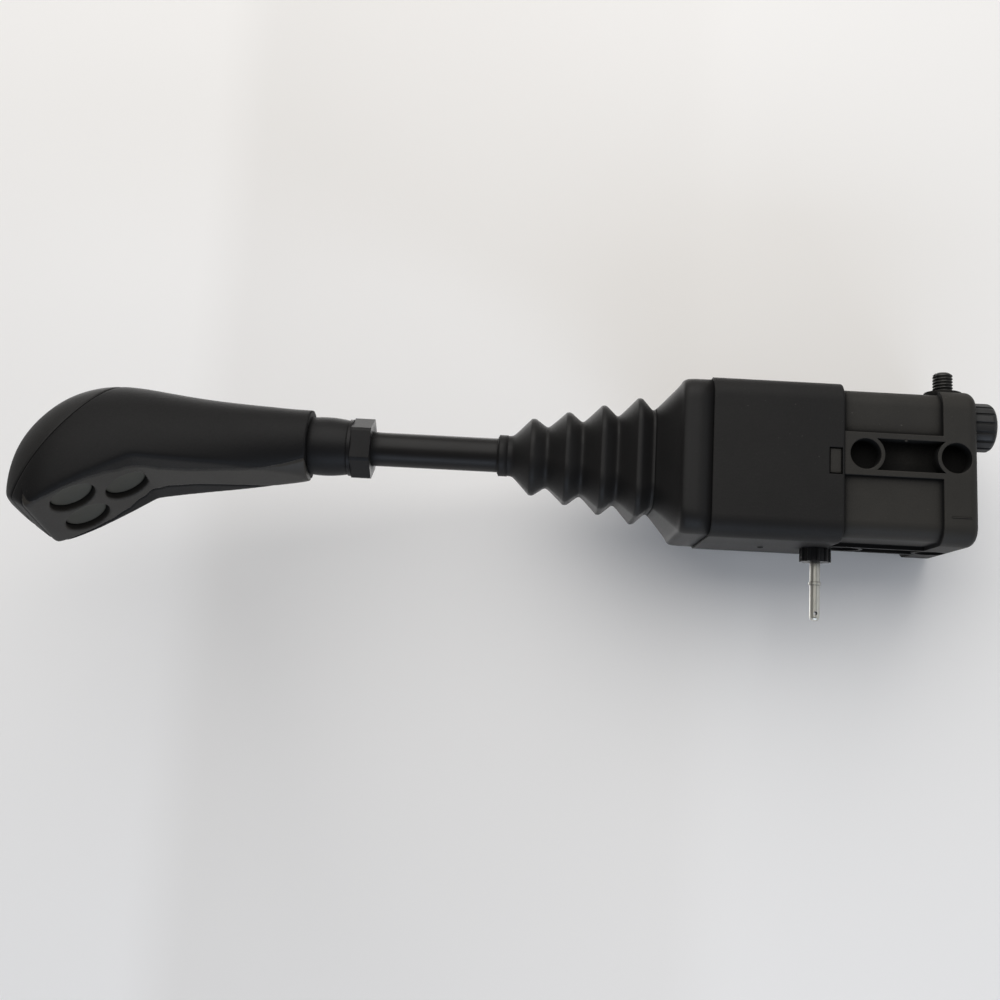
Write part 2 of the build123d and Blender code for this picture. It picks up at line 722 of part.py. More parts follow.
# Grip. Its own side plane is turned about the lever, so that the button face looks half forward.
turn = math.radians(grip_turn)
grip_dir = (math.cos(turn), math.sin(turn), 0)
side_dir = (-math.sin(turn), math.cos(turn), 0)
grip_side = Plane(origin=(0, 0, 0), x_dir=grip_dir, z_dir=(math.sin(turn), -math.cos(turn), 0))
face_sine = math.sin(math.radians(face_slope))
face_cosine = math.cos(math.radians(face_slope))
beak_sine = math.sin(math.radians(beak_slope))
beak_cosine = math.cos(math.radians(beak_slope))
face_foot = (beak_x + face_length * face_sine, beak_height - face_length * face_cosine)
grip_reach = 60.0


def grip_place(across, share):
    return (across, grip_base + share * beak_rise)


neck_line = [grip_place(*place) for place in neck_front]
seam_line = [grip_place(*place) for place in grip_seam]
seam_end = grip_place(*seam_top)


def grip_form(inset):
    last = len(grip_sections) if inset == 0 else len(grip_sections) - 1
    first = 0 if inset == 0 else 1
    with BuildPart() as form:
        for share, front, back, half in grip_sections[first:last]:
            with BuildSketch(Plane(origin=(0, 0, grip_base + share * beak_rise), x_dir=grip_dir)):
                with Locations(((front + back) / 2, 0)):
                    Ellipse((back - front) / 2 - inset, half - inset)
        loft()
        with BuildSketch(grip_side):
            with BuildLine():
                ThreePointArc(*neck_line, face_foot)
                Polyline(
                    face_foot,
                    (beak_x, beak_height),
                    (beak_x + grip_reach * beak_sine, beak_height + grip_reach * beak_cosine),
                    (beak_x - grip_reach, beak_height + grip_reach * beak_cosine),
                    (beak_x - grip_reach, neck_line[0][1]),
                    neck_line[0],
                )
            make_face()
            if inset > 0:
                offset(amount=inset, kind=Kind.INTERSECTION)
        extrude(amount=grip_reach, both=True, mode=Mode.SUBTRACT)
    return form.part


grip_outside = grip_form(0)
grip_inside = grip_form(grip_wall)
cap_normal = (
    math.sin(math.radians(cap_slope)) * grip_dir[0],
    math.sin(math.radians(cap_slope)) * grip_dir[1],
    math.cos(math.radians(cap_slope)),
)
cap_parting_height = grip_base + cap_parting_share * beak_rise
cap_origin = (cap_parting_x * grip_dir[0], cap_parting_x * grip_dir[1], cap_parting_height)
cap_plane = Plane(origin=cap_origin, x_dir=side_dir, z_dir=cap_normal)

with BuildPart() as grip_shell:
    add(grip_outside)
    add(grip_inside, mode=Mode.SUBTRACT)
    with BuildSketch(Plane.XY.offset(grip_base)):
        Circle(sleeve_spigot_radius + skin)
    extrude(amount=sleeve_spigot_length + 1, mode=Mode.SUBTRACT)

with BuildPart() as front_region:
    with BuildSketch(grip_side):
        with BuildLine():
            Spline(*seam_line)
            Polyline(
                seam_line[-1],
                seam_end,
                (seam_end[0], seam_end[1] + grip_reach),
                (seam_end[0] - grip_reach, seam_end[1] + grip_reach),
                (seam_end[0] - grip_reach, seam_line[0][1]),
                seam_line[0],
            )
        make_face()
    extrude(amount=grip_reach, both=True)

# The button face: X runs across the grip, Y from the beak to the neck and Z out of the face
face_plane = Plane(
    origin=(beak_x * grip_dir[0], beak_x * grip_dir[1], beak_height),
    x_dir=side_dir,
    z_dir=(-face_cosine * grip_dir[0], -face_cosine * grip_dir[1], -face_sine),
)
button_places = {
    "near": (-button_spacing / 2, button_upper_row),
    "far": (button_spacing / 2, button_upper_row),
    "lower": (0, button_lower_row),
}
with BuildPart() as barrels:
    with BuildSketch(face_plane.offset(-barrel_depth)):
        with Locations(*button_places.values()):
            Circle(barrel_radius)
    extrude(amount=barrel_depth)

with BuildPart() as grip_rear_shell:
    add(grip_shell.part)
    add(front_region.part, mode=Mode.SUBTRACT)
    add(barrels.part, mode=Mode.SUBTRACT)
    split(bisect_by=cap_plane, keep=Keep.BOTTOM)
write(grip_rear_shell, "grip_rear_shell")

with BuildPart() as grip_head_cap:
    add(grip_shell.part)
    add(front_region.part, mode=Mode.SUBTRACT)
    add(barrels.part, mode=Mode.SUBTRACT)
    split(bisect_by=cap_plane, keep=Keep.TOP)
write(grip_head_cap, "grip_head_cap")

with BuildPart() as grip_front_shell:
    add(barrels.part)
    add(grip_outside, mode=Mode.INTERSECT)
    add(grip_shell.part & front_region.part)
    with BuildSketch(face_plane):
        with Locations(*button_places.values()):
            Circle(button_hole_radius)
    extrude(amount=-barrel_depth, mode=Mode.SUBTRACT)
write(grip_front_shell, "grip_front_shell")

for place_name, place in button_places.items():
    with BuildPart() as button:
        with BuildSketch(face_plane.offset(-button_depth)):
            with Locations(place):
                Circle(button_radius)
        extrude(amount=-button_thickness)
        with BuildSketch(face_plane.offset(-button_depth)):
            with Locations(place):
                Circle(button_radius - button_rim)
        extrude(amount=-button_dish, taper=button_dish_slope, mode=Mode.SUBTRACT)
        with BuildSketch(face_plane.offset(-button_depth - button_thickness)):
            with Locations(place):
                Circle(button_stem_radius)
        extrude(amount=-button_stem_length)
    write(button, f"button_{place_name}")

    with BuildPart() as switch:
        with BuildSketch(face_plane.offset(-barrel_depth)):
            with Locations(place):
                Circle(switch_flange_radius)
        extrude(amount=-switch_flange_thickness)
        with BuildSketch(face_plane.offset(-barrel_depth)):
            with Locations(place):
                Circle(switch_radius)
        extrude(amount=-switch_length)
        with BuildSketch(face_plane.offset(-barrel_depth)):
            with Locations(place):
                Circle(button_stem_radius + slip_fit)
        extrude(amount=-switch_well_depth, mode=Mode.SUBTRACT)
    write(switch, f"switch_{place_name}")

with BuildPart() as switch_plate:
    with BuildSketch(face_plane.offset(-barrel_depth - switch_length)):
        with Locations((0, (button_upper_row + button_lower_row) / 2)):
            RectangleRounded(switch_plate_width, switch_plate_length, switch_plate_corner)
    extrude(amount=-switch_plate_thickness)
write(switch_plate, "switch_plate")
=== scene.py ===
import json
import math

import bmesh
import bpy
from mathutils import Matrix, Vector


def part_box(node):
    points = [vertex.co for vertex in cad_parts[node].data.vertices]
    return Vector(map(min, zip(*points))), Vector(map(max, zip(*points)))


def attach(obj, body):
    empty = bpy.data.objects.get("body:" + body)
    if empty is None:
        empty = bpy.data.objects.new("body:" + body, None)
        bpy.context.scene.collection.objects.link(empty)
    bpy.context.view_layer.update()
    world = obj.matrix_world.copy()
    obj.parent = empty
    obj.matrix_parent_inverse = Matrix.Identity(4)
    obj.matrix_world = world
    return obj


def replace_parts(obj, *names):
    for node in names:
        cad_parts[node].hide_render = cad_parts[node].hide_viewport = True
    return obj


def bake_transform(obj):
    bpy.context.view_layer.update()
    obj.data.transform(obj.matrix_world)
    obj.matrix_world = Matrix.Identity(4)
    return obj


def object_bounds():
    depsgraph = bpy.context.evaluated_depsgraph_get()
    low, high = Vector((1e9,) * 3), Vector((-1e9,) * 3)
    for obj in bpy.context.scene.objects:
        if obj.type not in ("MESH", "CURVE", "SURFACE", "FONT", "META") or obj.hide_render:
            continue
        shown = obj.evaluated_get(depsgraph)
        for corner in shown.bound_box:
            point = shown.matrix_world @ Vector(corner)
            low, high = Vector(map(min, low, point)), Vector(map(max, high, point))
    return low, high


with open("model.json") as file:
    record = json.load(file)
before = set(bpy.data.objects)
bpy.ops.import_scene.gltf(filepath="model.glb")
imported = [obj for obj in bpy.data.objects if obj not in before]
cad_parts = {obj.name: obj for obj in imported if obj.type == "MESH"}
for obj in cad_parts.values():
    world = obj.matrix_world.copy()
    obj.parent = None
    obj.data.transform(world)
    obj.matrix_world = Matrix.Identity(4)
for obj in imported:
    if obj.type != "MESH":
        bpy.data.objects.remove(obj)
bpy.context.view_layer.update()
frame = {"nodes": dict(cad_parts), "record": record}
nodes = frame["nodes"]
print("stage: frame loaded")


class Sock:
    # wraps a socket, so that shader maths can be written as sums
    tree = None

    def __init__(self, value):
        self.value = value

    @staticmethod
    def feed(socket, value):
        if isinstance(value, Sock):
            value = value.value
        if isinstance(value, bpy.types.NodeSocket):
            Sock.tree.links.new(value, socket)
        else:
            socket.default_value = value

    @staticmethod
    def node(kind, settings=None, inputs=None, output=0):
        made = Sock.tree.nodes.new(kind)
        for name, value in (settings or {}).items():
            setattr(made, name, value)
        for name, value in (inputs or {}).items():
            Sock.feed(made.inputs[name], value)
        return Sock(made.outputs[output])

    @staticmethod
    def maths(operation, *terms):
        return Sock.node("ShaderNodeMath", {"operation": operation}, dict(enumerate(terms)))

    def __add__(self, other):
        return Sock.maths("ADD", self, other)

    def __radd__(self, other):
        return Sock.maths("ADD", other, self)

    def __sub__(self, other):
        return Sock.maths("SUBTRACT", self, other)

    def __rsub__(self, other):
        return Sock.maths("SUBTRACT", other, self)

    def __mul__(self, other):
        return Sock.maths("MULTIPLY", self, other)

    def __rmul__(self, other):
        return Sock.maths("MULTIPLY", other, self)

    def clamp(self, low=0.0, high=1.0):
        return Sock.node("ShaderNodeClamp", {}, {"Value": self, "Min": low, "Max": high})

    def band(self, low, high):
        # 0 below low, 1 above high, and a soft step between them
        return Sock.node(
            "ShaderNodeMapRange",
            {"interpolation_type": "SMOOTHSTEP"},
            {"Value": self, "From Min": low, "From Max": high},
        )


def dotOf(first, second):
    return Sock.node(
        "ShaderNodeVectorMath", {"operation": "DOT_PRODUCT"}, {0: first, 1: second}, output=1
    )


def noiseAt(point, scale, detail, rough=0.55, stretch=(1, 1, 1)):
    if stretch != (1, 1, 1):
        point = Sock.node(
            "ShaderNodeVectorMath", {"operation": "MULTIPLY"}, {0: point, 1: stretch}
        )
    return Sock.node(
        "ShaderNodeTexNoise",
        {},
        {"Vector": point, "Scale": scale, "Detail": detail, "Roughness": rough},
    )


def blendColour(first, second, share):
    return Sock.node(
        "ShaderNodeMix", {"data_type": "RGBA"}, {0: share, 6: first, 7: second}, output=2
    )


def tint(colour, factor):
    return tuple(min(1.0, channel * factor) for channel in colour) + (1.0,)


# What every finish has, unless it says otherwise; lengths are in metres
commonFinish = {
    "stretch": (1, 1, 1),  # squeezes the grain along an axis
    "poreScale": 0.37,  # as a share of the grain's scale
    "blotchScale": 55.0,
    "blotchBand": (0.32, 0.68),
    "smearScale": 16.0,
    "smearStretch": (1, 1, 0.35),
    "castBand": (0.5, 0.78),
    "castShare": 0.25,
    "castTint": 1.25,
    "edge": 0.0006,
    "rimGain": 6.0,
    "rimBand": (0.3, 0.62),
    "rimShare": 0.35,
    "rimTint": 2.6,
    "rimPolish": 0.12,
    "dust": 0.1,
    "dustScale": 900.0,
    "dustBand": (0.74, 0.8),
    "dustSmear": (0.45, 0.7),
    "dustColour": (0.22, 0.21, 0.19, 1.0),
    # the next four keys paint shade into recesses, found by ambient occlusion, as a darker
    # colour
    "reach": 0.012,  # how near a wall shades a recess
    "closed": 0.4,
    "open": 0.92,
    "paintedShadeAndLineTint": 0.1,
    "recessRough": 0.35,
    "lineCore": 0.4,
    "roughGrain": 0.14,
    "roughSmear": 0.2,
    "roughLimits": (0.05, 1.0),
    "metal": 0.0,
    "specular": 0.36,
    "grainHeight": 0.7,
    "poreHeight": 0.3,
    "bump": 0.5,
    "extras": (),
}


def finish(name, ownValues):
    values = {**commonFinish, **ownValues}
    made = bpy.data.materials.new(name)
    made.use_nodes = True
    Sock.tree = made.node_tree
    shader = made.node_tree.nodes["Principled BSDF"]
    point = Sock.node("ShaderNodeTexCoord", output=3)
    colour, spread = values["colour"], values["spread"]

    grain = noiseAt(point, values["grainScale"], 2.0, 0.6, values["stretch"])
    pores = noiseAt(point, values["grainScale"] * values["poreScale"], 3.0, 0.5)
    blotch = noiseAt(point, values["blotchScale"], 5.0, 0.62)
    smear = noiseAt(point, values["smearScale"], 3.0, 0.5, values["smearStretch"])

    # even colour, with blotches and a cooler cast in smears
    base = blendColour(
        tint(colour, 1 - spread), tint(colour, 1 + spread), blotch.band(*values["blotchBand"])
    )
    castColour = values.get("cast", tint(colour, values["castTint"]))
    cool = blendColour(base, castColour, smear.band(*values["castBand"]) * values["castShare"])

    # worn rims, found where the rounded normal leaves the flat one
    rounded = Sock.node("ShaderNodeBevel", {"samples": 4}, {"Radius": values["edge"]})
    flat = Sock.node("ShaderNodeNewGeometry", output=1)
    turned = dotOf(rounded, flat)
    rim = ((1.0 - turned) * values["rimGain"]).clamp() * blotch.band(*values["rimBand"])
    rim = rim * values["rimShare"]
    rimColour = values.get("rimColour", tint(colour, values["rimTint"]))
    worn = blendColour(cool, rimColour, rim)

    dustSpots = noiseAt(point, values["dustScale"], 1.0, 0.5).band(*values["dustBand"])
    dustSpots = dustSpots * smear.band(*values["dustSmear"]) * values["dust"]
    dusty = blendColour(worn, values["dustColour"], dustSpots)

    # painted shade: recesses, found by ambient occlusion, get a darker colour and go dull, and
    # a parting line is drawn dark and dull as well
    openness = Sock.node(
        "ShaderNodeAmbientOcclusion", {"samples": 8}, {"Distance": values["reach"]}, output=1
    )
    paintedShadeAndLineMask = openness.band(values["closed"], values["open"])
    if "line" in values:
        normal, offset, wide = values["line"]
        away = Sock.maths("ABSOLUTE", dotOf(point, normal) - offset)
        paintedShadeAndLineMask = paintedShadeAndLineMask * away.band(wide * values["lineCore"], wide)
    Sock.feed(
        shader.inputs["Base Color"],
        blendColour(tint(colour, values["paintedShadeAndLineTint"]), dusty, paintedShadeAndLineMask),
    )

    rough = values["rough"] + (grain - 0.5) * values["roughGrain"]
    rough = rough + (smear - 0.5) * values["roughSmear"]
    rough = rough - rim * values["rimPolish"] + (1.0 - paintedShadeAndLineMask) * values["recessRough"]
    Sock.feed(shader.inputs["Roughness"], rough.clamp(*values["roughLimits"]))
    shader.inputs["Metallic"].default_value = values["metal"]
    shader.inputs["Specular IOR Level"].default_value = values["specular"]

    height = grain * values["grainHeight"] + pores * values["poreHeight"]
    for extra in values["extras"]:
        height = extra(point, height)
    bump = Sock.node(
        "ShaderNodeBump",
        {},
        {
            "Strength": values["bump"],
            "Distance": values["depth"],
            "Height": height,
            "Normal": rounded,
        },
    )
    Sock.feed(shader.inputs["Normal"], bump)
    return made


def ridges(pitch, share, axis=2):
    # lathe lines or coils along one axis
    def add(point, height):
        place = Sock.node("ShaderNodeSeparateXYZ", {}, {0: point}, output=axis)
        return height + Sock.maths("SINE", place * (2 * math.pi / pitch)) * share

    return add


# The head cap meets the grip in a slanted plane, which both finishes draw as a dark line
capValues = {"turn": 16.0, "slope": 29.0, "across": 0.0206, "rise": 0.0772, "line": 0.00042}
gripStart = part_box("grip_rear_shell")[0][2]
gripTurn, capSlope = math.radians(capValues["turn"]), math.radians(capValues["slope"])
capFacing = (
    math.cos(gripTurn) * math.sin(capSlope),
    math.sin(gripTurn) * math.sin(capSlope),
    math.cos(capSlope),
)
capReach = capValues["across"] * math.sin(capSlope)
capReach += (gripStart + capValues["rise"]) * math.cos(capSlope)
lineOfCap = (capFacing, capReach, capValues["line"])

# closed and open set how strongly each finish paints shade into its recesses
finishValues = {
    "base_plastic": {
        "colour": (0.0175, 0.0158, 0.013), "cast": (0.018, 0.0182, 0.0195, 1), "spread": 0.1,
        "rough": 0.6, "specular": 0.3, "grainScale": 1500, "depth": 0.00012, "bump": 0.55,
        "edge": 0.0007, "dust": 0.16, "closed": 0.62, "open": 0.97,
    },
    "cover_plastic": {
        "colour": (0.0058, 0.0053, 0.005), "cast": (0.00714, 0.00756, 0.00882, 1),
        "spread": 0.12, "rough": 0.6, "specular": 0.25, "grainScale": 1650, "depth": 0.00012,
        "bump": 0.6, "edge": 0.0007, "dust": 0.14, "closed": 0.3, "open": 0.9,
    },
    "block_metal": {
        "colour": (0.55, 0.55, 0.53), "spread": 0.08, "metal": 1.0,
        "rough": 0.42, "grainScale": 1400, "depth": 0.00004, "extras": (ridges(0.0006, 0.15),),
    },
    "steel": {
        "colour": (0.6, 0.6, 0.59), "spread": 0.06, "metal": 1.0,
        "rough": 0.28, "grainScale": 2600, "depth": 0.00002, "stretch": (1, 1, 0.1),
    },
    "fitting_plastic": {
        "colour": (0.015, 0.015, 0.0155), "spread": 0.12, "rough": 0.4, "grainScale": 2200,
        "depth": 0.00003, "edge": 0.0004, "dust": 0.2, "rimShare": 0.5,
    },
    "rubber": {
        "colour": (0.01, 0.01, 0.01), "spread": 0.12,
        "rough": 0.62, "grainScale": 2000, "depth": 0.00003,
    },
    "dark_steel": {
        "colour": (0.042, 0.0408, 0.0396), "spread": 0.2, "metal": 0.7, "rough": 0.36,
        "grainScale": 2200, "depth": 0.00003, "edge": 0.0004, "rimShare": 0.6,
        "rimColour": (0.144, 0.138, 0.132, 1),
    },
    "rod_black": {
        "colour": (0.005, 0.0044, 0.0042), "cast": (0.01, 0.0085, 0.008, 1), "spread": 0.16,
        "rough": 0.42, "roughSmear": 0.16, "specular": 0.24, "grainScale": 2400,
        "depth": 0.000018, "stretch": (1, 1, 0.06),
    },
    "nut_black": {
        "colour": (0.005, 0.0046, 0.005), "spread": 0.22, "metal": 0.2, "rough": 0.46,
        "specular": 0.26, "grainScale": 1900, "depth": 0.00003, "edge": 0.0004,
        "rimShare": 0.55, "rimColour": (0.025, 0.024, 0.025, 1),
    },
    "sleeve_plastic": {
        "colour": (0.0036, 0.0034, 0.0038), "cast": (0.00546, 0.00588, 0.00672, 1),
        "spread": 0.12, "rough": 0.54, "specular": 0.22, "grainScale": 1500, "depth": 0.0001,
    },
    "boot_rubber": {
        "colour": (0.005, 0.0046, 0.0046), "cast": (0.0072, 0.00765, 0.00945, 1),
        "castShare": 0.5, "spread": 0.14, "rough": 0.56, "specular": 0.28, "grainScale": 1100,
        "depth": 0.00008, "bump": 0.35, "edge": 0.0005, "dust": 0.12, "closed": 0.25,
        "open": 0.8,
    },
    "hub_plastic": {
        "colour": (0.0065, 0.0065, 0.007), "spread": 0.12, "rough": 0.38, "grainScale": 2300,
        "depth": 0.00003, "edge": 0.0003, "rimShare": 0.5,
    },
    "zinc": {
        "colour": (0.58, 0.57, 0.52), "cast": (0.5, 0.5, 0.44, 1), "spread": 0.16,
        "metal": 0.9, "rough": 0.34, "grainScale": 1700, "depth": 0.00003, "edge": 0.0003,
        "rimShare": 0.2, "rimColour": (0.7, 0.7, 0.66, 1),
    },
    "grip_plastic": {
        "colour": (0.0036, 0.0034, 0.0036), "cast": (0.0042, 0.0044, 0.005, 1),
        "spread": 0.12, "rough": 0.6, "specular": 0.2, "grainScale": 1500, "depth": 0.00012,
        "bump": 0.6, "edge": 0.0005, "dust": 0.12, "line": lineOfCap,
    },
    "cap_plastic": {
        "colour": (0.0082, 0.0078, 0.0076), "cast": (0.00756, 0.00798, 0.00882, 1),
        "spread": 0.12, "rough": 0.58, "specular": 0.26, "grainScale": 1600,
        "depth": 0.00012, "bump": 0.6, "edge": 0.0005, "dust": 0.12, "line": lineOfCap,
    },
    "grip_front_plastic": {
        "colour": (0.0245, 0.0215, 0.0175), "cast": (0.023, 0.0225, 0.0225, 1),
        "spread": 0.1, "rough": 0.56, "grainScale": 1500, "depth": 0.0001, "edge": 0.0005,
        "dust": 0.12, "closed": 0.2, "open": 0.85,
    },
    "spring_steel": {
        "colour": (0.36, 0.36, 0.36), "spread": 0.1, "metal": 1.0,
        "rough": 0.34, "grainScale": 1800, "depth": 0.00003, "extras": (ridges(0.0024, 2.5),),
    },
    "brass": {
        "colour": (0.62, 0.45, 0.2), "spread": 0.08, "metal": 1.0,
        "rough": 0.3, "grainScale": 1800, "depth": 0.00003,
    },
    "button_plastic": {
        "colour": (0.046, 0.045, 0.036), "cast": (0.05, 0.052, 0.046, 1), "spread": 0.1,
        "rough": 0.5, "grainScale": 2400, "depth": 0.00003, "edge": 0.0004,
        "rimShare": 0.5, "rimColour": (0.12, 0.12, 0.1, 1), "closed": 0.02, "open": 0.4,
    },
    "switch_plastic": {
        "colour": (0.01, 0.01, 0.01), "spread": 0.12,
        "rough": 0.5, "grainScale": 2000, "depth": 0.00003,
    },
}
finishes = {name: finish(name, values) for name, values in finishValues.items()}
slotOf = {piece["node"]: piece["material_slot"] for piece in frame["record"]["subparts"]}
for nodeName, item in nodes.items():
    item.data.materials.clear()
    item.data.materials.append(finishes[slotOf[nodeName]])
print("stage: finishes made", len(finishes))


def raw(name, mesh):
    made = bpy.data.objects.new(name, mesh)
    bpy.context.scene.collection.objects.link(made)
    return made


def addPiece(name, mesh, slotName, body=None):
    made = raw(name, mesh)
    mesh.materials.clear()
    mesh.materials.append(finishes[slotName])
    for face in mesh.polygons:
        face.use_smooth = True
    if body:
        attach(made, body)
    return made


def applied(piece, name):
    # the mesh with its modifiers worked in; the piece itself goes
    depsgraph = bpy.context.evaluated_depsgraph_get()
    mesh = bpy.data.meshes.new_from_object(piece.evaluated_get(depsgraph))
    mesh.name = name
    bpy.data.objects.remove(piece)
    return mesh


def skin(name, rings, ends=False):
    # faces from ring to ring, and over both ends if asked
    mesh = bpy.data.meshes.new(name)
    shape = bmesh.new()
    rows = [[shape.verts.new(point) for point in ring] for ring in rings]
    for low, high in zip(rows, rows[1:]):
        for index in range(len(low)):
            after = (index + 1) % len(low)
            shape.faces.new((low[index], low[after], high[after], high[index]))
    if ends:
        bmesh.ops.holes_fill(shape, edges=[edge for edge in shape.edges if edge.is_boundary])
        bmesh.ops.recalc_face_normals(shape, faces=shape.faces)
    shape.normal_update()
    shape.to_mesh(mesh)
    shape.free()
    return mesh


# Boot: a square bellows whose corners turn round towards the collar
bootValues = {
    "corner": 0.008, "cornerTurn": 1.6, "around": 160, "wall": 0.0012, "rounding": 0.32,
    "shoulder": [(0.0, 0.0), (0.0094, 0.0), (0.0114, -0.0007), (0.0126, -0.0026)],
    "folds": 4, "firstPeak": 0.0277, "pitch": 0.0141,
    "peakHalf": 0.02405, "peakTaper": 0.0028, "valleyHalf": 0.02, "valleyTaper": 0.0025,
    "valleyLine": [(-0.0064, 0.0), (-0.0051, 0.0)],
    "peakLine": [(-0.0011, -0.0003), (-0.0002, 0.0), (0.001, -0.0001), (0.0018, -0.0009)],
    "collarRadius": 0.00825, "collarHeight": 0.0049, "bore": 0.0073, "boreDepth": 0.004,
    "tuck": 0.003, "bendStart": 0.0096, "swingStart": 0.0145, "swingEnd": 0.046,
}
skirtHalf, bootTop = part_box("boot")[1][0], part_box("boot")[1][2]
coverLow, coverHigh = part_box("cover")
coverTop = coverHigh[2]
collarBase = bootTop - bootValues["collarHeight"]
collarRadius = bootValues["collarRadius"]
bootProfile = [(coverTop + rise, skirtHalf + out) for rise, out in bootValues["shoulder"]]
for fold in range(bootValues["folds"]):
    peak = coverTop + bootValues["firstPeak"] + fold * bootValues["pitch"]
    valleyHalf = bootValues["valleyHalf"] - fold * bootValues["valleyTaper"]
    peakHalf = bootValues["peakHalf"] - fold * bootValues["peakTaper"]
    bootProfile += [(peak + rise, valleyHalf + out) for rise, out in bootValues["valleyLine"]]
    bootProfile += [(peak + rise, peakHalf + out) for rise, out in bootValues["peakLine"]]
bootProfile += [
    (collarBase - 0.0016, collarRadius + 0.0004),
    (collarBase, collarRadius),
    (bootTop - 0.0006, collarRadius),
    (bootTop, collarRadius - 0.0006),
    (bootTop, bootValues["bore"]),
    (bootTop - bootValues["boreDepth"], bootValues["bore"]),
]


def squareRing(half, corner, count):
    # points of a rounded square, evenly along its outline
    corner = min(corner, half)
    straight = 2 * (half - corner)
    arc = corner * math.pi / 2
    quarter = straight + arc
    points = []
    for index in range(count):
        place = (index / count) * 4 * quarter
        side = int(place // quarter)
        rest = place - side * quarter
        if rest < straight / 2:
            x, y = half, rest
        elif rest < straight / 2 + arc:
            angle = (rest - straight / 2) / corner
            x = half - corner + corner * math.cos(angle)
            y = half - corner + corner * math.sin(angle)
        else:
            x, y = half - corner - (rest - straight / 2 - arc), half
        turn = side * math.pi / 2
        points.append((
            x * math.cos(turn) - y * math.sin(turn),
            x * math.sin(turn) + y * math.cos(turn),
        ))
    return points


def roundProfile(points, share, steps=4):
    # each inner corner of the line becomes a short curve
    line = [Vector(points[0])]
    for before, here, after in zip(points, points[1:], points[2:]):
        before, here, after = Vector(before), Vector(here), Vector(after)
        start = here + (before - here) * share
        stop = here + (after - here) * share
        for step in range(steps + 1):
            t = step / steps
            line.append(start * (1 - t) ** 2 + here * 2 * t * (1 - t) + stop * t ** 2)
    line.append(Vector(points[-1]))
    return line


bootLine = roundProfile(bootProfile, bootValues["rounding"])


def bootRings(low, high):
    rings = []
    for level, half in bootLine:
        if not low - 1e-7 <= level <= high + 1e-7:
            continue
        corner = bootValues["corner"]
        share = min(1.0, max(0.0, (level - coverTop) / (collarBase - coverTop)))
        corner += max(0.0, half - corner) * share ** bootValues["cornerTurn"]
        ring = squareRing(half, corner, bootValues["around"])
        rings.append([(x, y, level) for x, y in ring])
    return rings


# The boot is made as a lower and an upper part.
# They meet in the first valley, where a tucked rim hides the step at full tilt.
valley = bootProfile[len(bootValues["shoulder"])][0]
splitLevel = min((abs(level - valley), level) for level, _ in bootLine)[1]
upperRings = bootRings(splitLevel, bootTop)
tuckedRing = [(x, y, level - bootValues["tuck"]) for x, y, level in upperRings[0]]
lowerSkin = skin("bootLowerFolds", bootRings(coverTop, splitLevel))
upperSkin = skin("bootUpperFolds", [tuckedRing] + upperRings)
bootLower = addPiece("bootLowerFolds", lowerSkin, "boot_rubber")
bootUpper = addPiece("bootUpperFolds", upperSkin, "boot_rubber")
for piece in (bootLower, bootUpper):
    wall = piece.modifiers.new("wall", "SOLIDIFY")
    wall.thickness = bootValues["wall"]
    wall.offset = -1.0
    wall.use_even_offset = False
    wall.use_rim = True
    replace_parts(piece, "boot")
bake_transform(bootLower)
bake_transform(bootUpper)
print("stage: boot made")

# Grip: one smooth form, cut along its parting lines so that the mouldings meet in fine grooves
gripValues = {
    "voxel": 0.00045, "softRounds": 8, "roundRounds": 90, "firmRise": 0.0015, "softRise": 0.006,
    "grooveDepth": 0.00035, "grooveWidth": 0.0005, "grooveLeast": 0.01,
    "rise": 0.1, "beakAcross": -0.0412, "faceSlope": 32.8, "faceShare": 0.4235,
    "buttonSide": 0.0095, "upperRow": 0.37, "lowerRow": 0.83,
    "firmDepth": 0.013, "firmRadius": 0.0098, "firmFade": 0.0025,
    "barrelDepth": 0.012, "barrelLip": 0.002, "barrelRadius": 0.0102,
    "panelBehind": 0.0045, "panelAbove": 0.0022,
}
# Half width and front line of the front panel, at heights in millimetres above the grip's end
panelWidths = [
    (-6, 10.2), (12, 9.0), (27, 7.6), (45, 7.0), (56, 8.2), (63, 10.8), (69, 14.2), (75, 17.6),
    (81, 19.6), (88, 20.2), (101, 19.2), (125, 16.0),
]
frontPlaces = [(-6, -14.8), (27, -16.0), (64.4, -18.3), (100, -41.2), (125, -26.2)]
gripAcross = Vector((math.cos(gripTurn), math.sin(gripTurn), 0))
gripSide = Vector((-math.sin(gripTurn), math.cos(gripTurn), 0))
capNormal = Vector(capFacing)
headTop = gripStart + gripValues["rise"]
faceAngle = math.radians(gripValues["faceSlope"])
beak = gripAcross * gripValues["beakAcross"] + Vector((0, 0, headTop))
faceNormal = gripAcross * -math.cos(faceAngle) + Vector((0, 0, -math.sin(faceAngle)))
faceDown = gripAcross * math.sin(faceAngle) + Vector((0, 0, -math.cos(faceAngle)))
faceLength = gripValues["faceShare"] * gripValues["rise"]
upperRow, lowerRow = gripValues["upperRow"] * faceLength, gripValues["lowerRow"] * faceLength
buttonPlaces = {
    "near": (-gripValues["buttonSide"], upperRow),
    "far": (gripValues["buttonSide"], upperRow),
    "lower": (0.0, lowerRow),
}
holeCentres = [
    beak + gripSide * side + faceDown * down for side, down in buttonPlaces.values()
]


def valueAt(places, level, soft=False):
    rise = (level - gripStart) * 1000
    for (low, first), (high, second) in zip(places, places[1:]):
        if rise <= high:
            t = max(0.0, (rise - low) / (high - low))
            t = t * t * (3 - 2 * t) if soft else t
            return (first + (second - first) * t) / 1000
    return places[-1][1] / 1000


